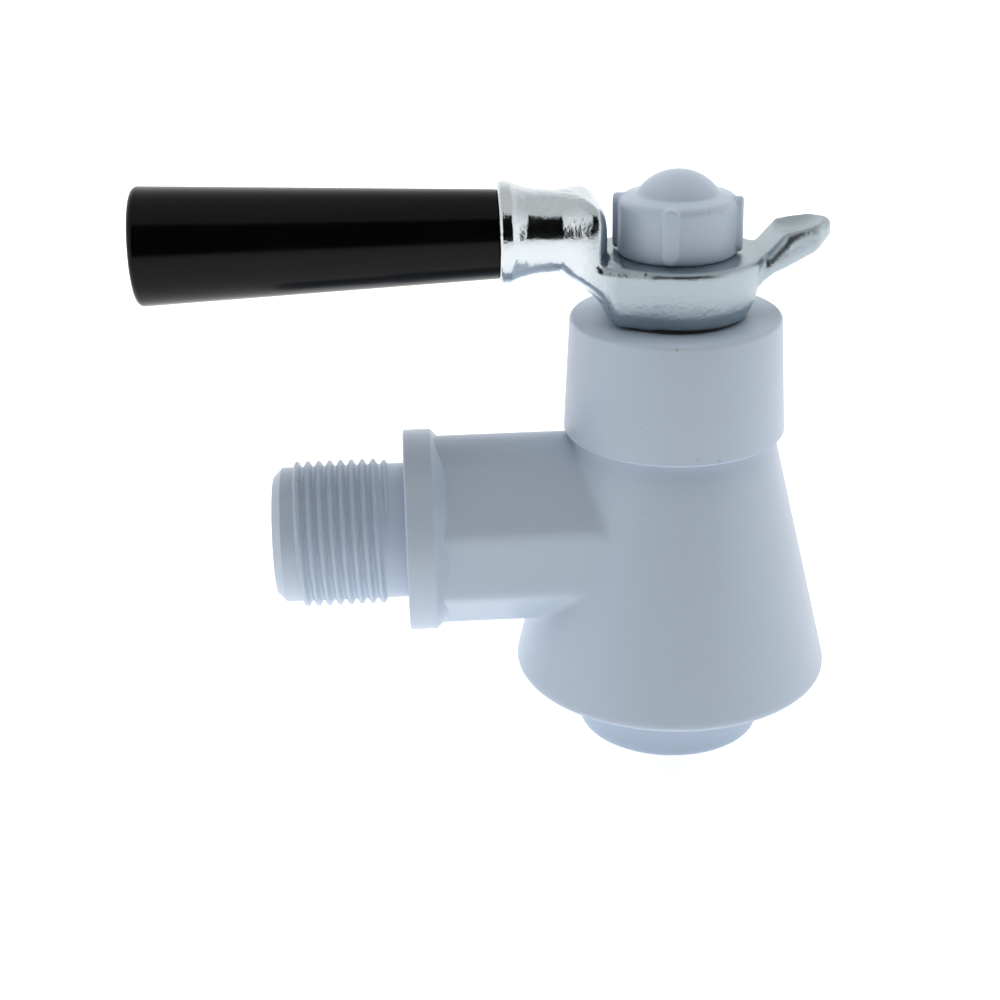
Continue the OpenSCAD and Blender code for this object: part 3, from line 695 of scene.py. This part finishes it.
# %% Grip
GRIP_R = 10.3
GRIP_NECK_R = 7.75
GRIP_EDGE_R = 1.2
grip = turned("black_grip", [
    (0, GRIP_INNER_X), (0, GRIP_OUTER_X),
    *arc((GRIP_R - GRIP_EDGE_R, GRIP_OUTER_X + GRIP_EDGE_R), GRIP_EDGE_R, -90, 0),
    (GRIP_NECK_R, GRIP_INNER_X - 0.15), (GRIP_NECK_R - 0.15, GRIP_INNER_X),
], (0, 0, GRIP_Z), axis="x")
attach(grip, "lever")
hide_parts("grip")
give_finish(grip, "black_grip")

# %% [markdown]
# ## The cap nut
# The nut is moulded: a barrel with a round shoulder, a low dome, and four upright ribs for the fingers.
# The ribs blend into the barrel, so this is a distance field again, on a finer grid because the piece
# is small and the ribs are only three millimetres wide.

# %% Cap nut
NUT_VOXEL = 0.22
NUT_R = 10.5
NUT_H = 10.5
DOME_R = 7.3
DOME_H = 3.9
SHOULDER_R = 1.5
SHOULDER_DROP = 0.5
RIB_HALF = 1.55
RIB_STAND = 0.9
RIB_FOOT = 0.3
RIB_HEAD = 0.4
RIB_TURN = -15

low, x, y, z = space(nut_low - (STEM_X, 0, 0), nut_high - (STEM_X, 0, 0), NUT_VOXEL)
z = z - HUB_TOP
around = np.hypot(x, y)
sphere_r = (DOME_R ** 2 + DOME_H ** 2) / (2 * DOME_H)
dome = np.hypot(around, z - (NUT_H + DOME_H - sphere_r)) - sphere_r
dome = common(dome, around - DOME_R)
side_top = NUT_H - SHOULDER_DROP - SHOULDER_R
barrel = outline_distance([
    (0, 0), (NUT_R - 0.3, 0), (NUT_R, 0.3),
    *arc((NUT_R - SHOULDER_R, side_top), SHOULDER_R, 0, 80), (DOME_R, NUT_H), (0, NUT_H),
], around, z)
nut = join(barrel, common(dome, 2 - z), 0.2)
for k in range(4):
    turn = math.radians(RIB_TURN + 90 * k)
    out = x * math.cos(turn) + y * math.sin(turn)
    side = -x * math.sin(turn) + y * math.cos(turn)
    head = NUT_H - RIB_HEAD - RIB_HALF
    foot = RIB_FOOT + RIB_HALF
    bar = np.hypot(side, z - np.clip(z, foot, head)) - RIB_HALF
    rib = common(common(bar, around - NUT_R - RIB_STAND, 0.6), NUT_R - 2.2 - out)
    nut = join(nut, rib, 0.25)
cap_nut = wrapped("ribbed_cap_nut", nut, low, NUT_VOXEL, (STEM_X, 0, 0))
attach(cap_nut, "stem")
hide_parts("cap_nut")
give_finish(cap_nut, "nut_plastic")

# %% [markdown]
# ## The lever
# The lever is one zinc casting, and its form says how it works. The flat top of the round hub lifts the
# nut, the foot's edge rocks on the bonnet, and the slot leaves room for the stem. The socket is turned
# about the grip's axis and its end is rounded over. The throat between them widens from socket to hub
# and is hollowed underneath. The thumb tab is a side outline and a plan outline in common, with a
# round dish taken out of its top.

# %% Lever
LEVER_VOXEL = 0.3
HUB_SHIFT = 0.6
HUB_H = HUB_TOP - BONNET_TOP
SOCKET_Z = GRIP_Z - BONNET_TOP
SOCKET_X = GRIP_INNER_X - STEM_X
SOCKET_R = 7.4
SOCKET_END_X = -12.1
END_R = 7.45
END_PLAN_R = 19.7
END_OPENING = 0.35
THROAT_START_X = -21.0
THROAT_END_X = -6.0
THROAT_START_R = 7.45
THROAT_DEEPENS = 15.0
UNDER_R = 7.5
UNDER_X = -20.5
UNDER_EDGE_R = 2.4
SLOT_R = 4.4
SLOT_END_X = 2.8
TAB_TIP_X = lever_high[0] - STEM_X
TAB_TIP_R = 2.2
DISH_R = 11.0
DISH_X = 18.8
DISH_Z = 25.5

place = np.array((STEM_X, 0, BONNET_TOP))
low, x, y, z = space(lever_low - place, lever_high - place, LEVER_VOXEL)

hub = outline_distance([
    (0, 0.5), (11.8, 0.5), *arc((11.8, 0.9), 0.4, -90, -20, 3), (13.3, 3.1), (14.8, 9.6),
    *arc((13.95, 10.55), 0.95, -10, 90), (0, HUB_H),
], np.hypot(x - HUB_SHIFT, y), z)

from_arc = x - SOCKET_END_X + END_R
end_region = np.hypot(np.maximum(from_arc, 0), np.maximum(z - SOCKET_Z, 0)) - END_R
end_region = end_region - END_OPENING * np.maximum(-from_arc, 0)
end_region = common(end_region, np.hypot(x - SOCKET_END_X + END_PLAN_R, y) - END_PLAN_R, 1.5)
socket = outline_distance([
    (SOCKET_X, 0), (SOCKET_X, 8.9), (SOCKET_X + 0.6, 9.2), (SOCKET_X + 2.1, 9.1),
    (SOCKET_X + 3.2, 8.55), (SOCKET_X + 4.8, 8.0), (SOCKET_X + 6.8, 7.6), (SOCKET_X + 9.4, SOCKET_R),
    (-11, SOCKET_R + 0.3), (-11, 0),
], x, np.hypot(y, z - SOCKET_Z))

reach_r = np.interp(z, (0.5, 3.1, 10.3, HUB_H), (12.2, 13.3, 14.9, 14.9)).astype(np.float32)
part = np.clip((x - THROAT_START_X) / (THROAT_END_X - THROAT_START_X), 0, 1)
half_height = THROAT_START_R + THROAT_DEEPENS * part * (z < SOCKET_Z)
half_socket = SOCKET_R * np.sqrt(np.clip(1 - ((SOCKET_Z - z) / half_height) ** 2, 0, 1))
half_hub = np.sqrt(reach_r ** 2 - (HUB_SHIFT - THROAT_END_X) ** 2)
throat = np.abs(y) - half_socket * (1 - part) - half_hub * part
throat = common(throat, np.maximum(THROAT_START_X - x, x - THROAT_END_X - 2))
throat = common(throat, join(z - HUB_H, end_region, 0.6), 1.5)
throat = common(throat, 0.5 - z)

lever = join(common(socket, end_region, 1.2), throat)
lever = join(lever, hub, 0.9)
lever = cut(lever, np.hypot(x - UNDER_X, z) - UNDER_R, UNDER_EDGE_R)

tab_side = outline_distance([
    (8, 6.2), (14.1, 6.4), (16.6, 8.3), (20.5, 9.9), (24.8, 11.7), (TAB_TIP_X, 13.7), (TAB_TIP_X, 15.5),
    (27.0, 16.6), (24.5, 16.9), (21.0, 16.6), (18.2, 15.4), (16.4, 13.4), (14.3, 11.1), (8, 9),
], x, z)
tab_plan = outline_distance([
    (6, -4.2), (18.0, -4.2), (23.0, -2.8), (TAB_TIP_X - TAB_TIP_R, -0.4), (TAB_TIP_X - TAB_TIP_R, 0.4),
    (23.0, 2.8), (18.0, 4.2), (6, 4.2),
], x, y) - TAB_TIP_R
dish = np.sqrt((x - DISH_X) ** 2 + y ** 2 + (z - DISH_Z) ** 2) - DISH_R
tab = cut(common(tab_side, tab_plan, 2.0), dish, 0.5)
lever = join(lever, tab, 1.0)
lever = common(lever, join(z - HUB_H, join(x - SOCKET_END_X - 1.5, HUB_SHIFT + 14 - x)))

slot = np.hypot(x - np.clip(x, 0, SLOT_END_X), y) - SLOT_R
lever = cut(lever, slot, 0.3)
lever_casting = wrapped("cast_lever", lever, low, LEVER_VOXEL, place)
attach(lever_casting, "lever")
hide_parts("lever_casting")
give_finish(lever_casting, "plated_zinc")

# %% [markdown]
# ## The studio
# The photograph was taken on a white table before a white wall, with the dark room behind the camera.
# That is why the plastic is a soft grey in front and bright along its edges, and why a black band runs
# through the chrome. Here the world is the white wall and the floor is the table. Two cards are the dark
# room: a wide one keeps light off the tap, and a narrower one is what its chrome mirrors. The Light Path
# node gives the camera, the mirrors and the tap's own light each a strength of their own, so the
# background is white without more light on the tap.

# %% World
# What lights the tap is brighter than this level overhead, and dimmer behind
LIGHT_LEVEL = 1.05
OVERHEAD = 1.7
BEHIND = 0.75
CEILING_IN_MIRRORS = 0.55

world = bpy.data.worlds.new("white_wall")
bpy.context.scene.world = world
world.use_nodes = True
tree = world.node_tree
path = add(tree, "ShaderNodeLightPath").outputs
seen = calc(tree, "MAXIMUM", path["Is Camera Ray"],
            calc(tree, "MAXIMUM", path["Is Glossy Ray"], path["Is Transmission Ray"]))
direction = add(tree, "ShaderNodeTexCoord").outputs["Generated"]
towards = add(tree, "ShaderNodeSeparateXYZ", {0: direction}).outputs
height = towards["Z"]
ceiling = add(tree, "ShaderNodeMapRange", {
    "Value": height, "From Min": 0.35, "From Max": 0.85,
    "To Min": 1.0, "To Max": CEILING_IN_MIRRORS}).outputs[0]
in_mirror = calc(tree, "MULTIPLY", path["Is Glossy Ray"], calc(tree, "SUBTRACT", ceiling, 1.0))
overhead = add(tree, "ShaderNodeMapRange", {
    "Value": height, "From Min": 0.75, "From Max": 0.95, "To Min": 1.0, "To Max": OVERHEAD}).outputs[0]
behind = add(tree, "ShaderNodeMapRange", {
    "Value": towards["Y"], "From Min": 0.1, "From Max": 0.6, "To Min": 1.0, "To Max": BEHIND}).outputs[0]
level = calc(tree, "MULTIPLY", calc(tree, "MULTIPLY", overhead, behind), LIGHT_LEVEL)
lit = calc(tree, "MULTIPLY", calc(tree, "SUBTRACT", 1.0, seen), level)
strength = calc(tree, "ADD", calc(tree, "ADD", seen, in_mirror), lit)
sky = tree.nodes["Background"]
sky.inputs["Color"].default_value = (1, 1, 1, 1)
tree.links.new(strength, sky.inputs["Strength"])

# %% Floor
FLOOR_HALF = 4.0
FLOOR_COLOUR = (0.88, 0.88, 0.88)
GLOW_TO_CAMERA = 0.66
GLOW_TO_MIRRORS = 0.5
GLOW_TO_OBJECT = 0.58

half = FLOOR_HALF
mesh = bpy.data.meshes.new("white_table")
corners = ((-half, -half), (half, -half), (half, half), (-half, half))
mesh.from_pydata([(*corner, SPOUT_FOOT * MM) for corner in corners], [], [(0, 1, 2, 3)])
floor = link("white_table", mesh)
material, tree, shader, position = new_finish("white_table", 0.9, 0.0, FLOOR_COLOUR)
path = add(tree, "ShaderNodeLightPath").outputs
mirror = calc(tree, "MAXIMUM", path["Is Glossy Ray"], path["Is Transmission Ray"])
glow = calc(tree, "ADD", calc(tree, "MULTIPLY", path["Is Camera Ray"], GLOW_TO_CAMERA),
            calc(tree, "ADD", calc(tree, "MULTIPLY", mirror, GLOW_TO_MIRRORS),
                 calc(tree, "MULTIPLY", path["Is Diffuse Ray"], GLOW_TO_OBJECT)))
shader.inputs["Emission Color"].default_value = (1, 1, 1, 1)
tree.links.new(glow, shader.inputs["Emission Strength"])
material.cycles.emission_sampling = "NONE"
mesh.materials.append(material)

# %% Dark cards
# The object's own light is kept out over a wide stretch, but its mirrors see a narrower dark room
CARD_RADIUS = 1.5
CARD_HALF_WIDTH = 80
CARD_TOP = 62
MIRROR_HALF_WIDTH = 42
MIRROR_TOP = 56
ROOM_LIGHT = 0.04

dark, tree, shader, position = new_finish("dark_room", 1.0, 0.0, (0.004, 0.004, 0.004))
shader.inputs["Specular IOR Level"].default_value = 0
shader.inputs["Emission Color"].default_value = (1, 1, 1, 1)
path = add(tree, "ShaderNodeLightPath").outputs
glow = calc(tree, "MULTIPLY", path["Is Diffuse Ray"], ROOM_LIGHT)
tree.links.new(glow, shader.inputs["Emission Strength"])
dark.cycles.emission_sampling = "NONE"


def dark_card(name, half_width, top, radius):
    """A part of a globe in front of the object, from the table up, that the camera doesn't see."""
    rows = np.radians(np.linspace(0, top, 13))
    columns = np.radians(np.linspace(-90 - half_width, -90 + half_width, 25))
    points = [(STEM_X * MM + radius * math.cos(e) * math.cos(a), radius * math.cos(e) * math.sin(a),
               SPOUT_FOOT * MM + radius * math.sin(e)) for e in rows for a in columns]
    wide = len(columns)
    faces = [(r * wide + c, r * wide + c + 1, (r + 1) * wide + c + 1, (r + 1) * wide + c)
             for r in range(len(rows) - 1) for c in range(wide - 1)]
    mesh = bpy.data.meshes.new(name)
    mesh.from_pydata(points, [], faces)
    mesh.materials.append(dark)
    card = link(name, mesh)
    card.visible_camera = False
    return card


dark_card("dark_room", CARD_HALF_WIDTH, CARD_TOP, CARD_RADIUS).visible_glossy = False
in_mirrors = dark_card("dark_room_in_mirrors", MIRROR_HALF_WIDTH, MIRROR_TOP, CARD_RADIUS * 0.98)
in_mirrors.visible_diffuse = False
in_mirrors.visible_shadow = False
print("cards reach", CARD_HALF_WIDTH, "and", MIRROR_HALF_WIDTH, "degrees to each side")
